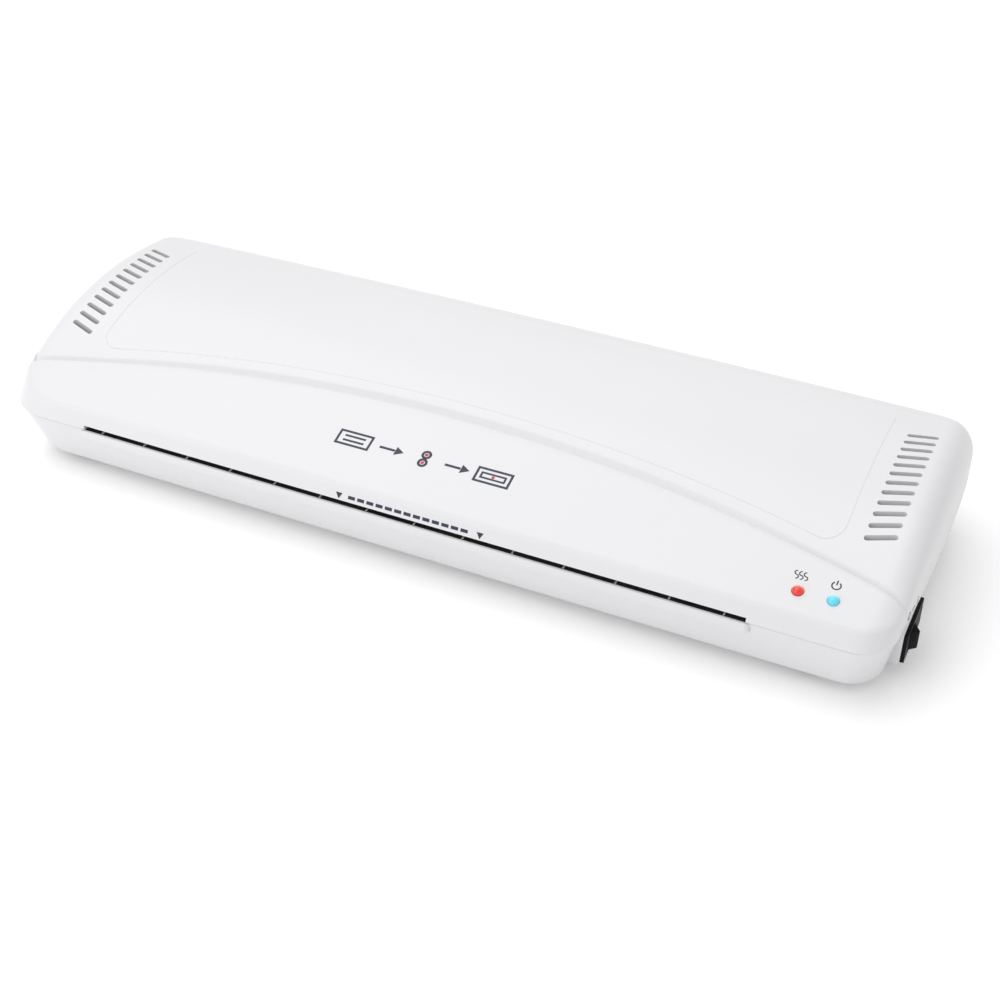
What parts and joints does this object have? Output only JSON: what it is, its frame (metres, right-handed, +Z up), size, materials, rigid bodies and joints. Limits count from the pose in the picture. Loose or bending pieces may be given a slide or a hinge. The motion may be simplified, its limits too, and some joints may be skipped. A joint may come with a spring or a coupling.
{
  "type": "pouch laminator",
  "caption": "Desktop A3 pouch laminator: white moulded shells over a steel chassis with heater plates, sprung silicone rollers, gear drive, side rocker switch and two lamps.",
  "frame": {"origin": "centre of the bounding box in X and Y, at the plane that the feet stand on", "axes": "+X towards the switch end, -Y towards the feed slot that the user faces, +Z up"},
  "size_m": [0.4604, 0.1674, 0.0655],
  "materials": {
    "casing_white": "satin white injection-moulded plastic",
    "guide_black": "matt black heat-proof plastic",
    "switch_black": "satin black plastic",
    "bearing_brass": "sintered bronze",
    "roller_silicone": "matt red-brown silicone",
    "gear_nylon": "natural nylon",
    "heater_aluminium": "mill aluminium",
    "heater_mica": "mica laminate",
    "foot_rubber": "soft dark rubber",
    "board_green": "green circuit board",
    "lamp_red": "clear red lamp, lit",
    "lamp_blue": "clear blue lamp, lit",
    "fuse_ceramic": "glazed fuse body",
    "chassis_steel": "zinc-plated steel"
  },
  "bodies": {
    "chassis": {"bottom_casing": "casing_white", "casing_screw_1": "chassis_steel", "casing_screw_2": "chassis_steel", "casing_screw_3": "chassis_steel", "casing_screw_4": "chassis_steel", "control_board": "board_green", "cord_gland": "switch_black", "entry_guide_lower": "guide_black", "entry_guide_upper": "guide_black", "exit_guide": "guide_black", "frame_screw_1": "chassis_steel", "frame_screw_2": "chassis_steel", "frame_screw_3": "chassis_steel", "frame_screw_4": "chassis_steel", "heat_lamp_red": "lamp_red", "heat_shield_lower": "heater_aluminium", "heat_shield_upper": "heater_aluminium", "heater_element_lower": "heater_mica", "heater_element_upper": "heater_mica", "heater_plate_lower": "heater_aluminium", "heater_plate_upper": "heater_aluminium", "idler_pin": "chassis_steel", "lower_bush_left": "bearing_brass", "lower_bush_right": "bearing_brass", "motor_bracket": "chassis_steel", "motor_can": "chassis_steel", "motor_gearbox": "heater_aluminium", "power_lamp_blue": "lamp_blue", "pressure_spring_left": "chassis_steel", "pressure_spring_right": "chassis_steel", "rocker_pin": "chassis_steel", "rubber_foot_1": "foot_rubber", "rubber_foot_2": "foot_rubber", "rubber_foot_3": "foot_rubber", "rubber_foot_4": "foot_rubber", "side_frame_left": "chassis_steel", "side_frame_right": "chassis_steel", "switch_housing": "switch_black", "thermal_fuse": "fuse_ceramic", "thermostat": "chassis_steel", "tie_bar_front": "chassis_steel", "tie_bar_rear": "chassis_steel", "tie_nut_front_left": "chassis_steel", "tie_nut_front_right": "chassis_steel", "tie_nut_rear_left": "chassis_steel", "tie_nut_rear_right": "chassis_steel", "top_cover": "casing_white"},
    "lower_roller": {"lower_roller_shaft": "chassis_steel", "lower_roller_sleeve": "roller_silicone", "lower_roller_gear": "gear_nylon"},
    "upper_carriage": {"upper_bush_left": "bearing_brass", "upper_bush_right": "bearing_brass"},
    "upper_roller": {"upper_roller_shaft": "chassis_steel", "upper_roller_sleeve": "roller_silicone", "upper_roller_gear": "gear_nylon"},
    "idler": {"idler_gear": "gear_nylon"},
    "motor_output": {"drive_pinion": "bearing_brass"},
    "rocker": {"power_rocker": "switch_black"}
  },
  "joints": [
    {"name": "lower_roller_spin", "type": "hinge", "parent": "chassis", "child": "lower_roller", "pos_m": [-0.006, 0.008, 0.0201], "axis": [1, 0, 0], "continuous": true},
    {"name": "upper_carriage_lift", "type": "slide", "parent": "chassis", "child": "upper_carriage", "axis": [0, 0, 1], "range_m": [0, 0.0015], "stiffness_N_per_m": 4000, "springref_m": -0.003, "deforming": ["pressure_spring_left", "pressure_spring_right"]},
    {"name": "upper_roller_spin", "type": "hinge", "parent": "upper_carriage", "child": "upper_roller", "pos_m": [-0.006, 0.008, 0.0441], "axis": [1, 0, 0], "continuous": true},
    {"name": "idler_spin", "type": "hinge", "parent": "chassis", "child": "idler", "pos_m": [0.1785, 0.02925, 0.02579], "axis": [1, 0, 0], "continuous": true},
    {"name": "drive_pinion_spin", "type": "hinge", "parent": "chassis", "child": "motor_output", "pos_m": [0.1785, 0.04471, 0.02993], "axis": [1, 0, 0], "continuous": true},
    {"name": "power_rocker_tilt", "type": "hinge", "parent": "chassis", "child": "rocker", "pos_m": [0.2236, -0.0365, 0.015], "axis": [0, 0, 1], "range_deg": [-22, 0]}
  ],
  "couplings": [
    {"joint": "upper_roller_spin", "follows": "lower_roller_spin", "ratio": -1},
    {"joint": "idler_spin", "follows": "lower_roller_spin", "ratio": -1.2},
    {"joint": "drive_pinion_spin", "follows": "lower_roller_spin", "ratio": 2}
  ]
}
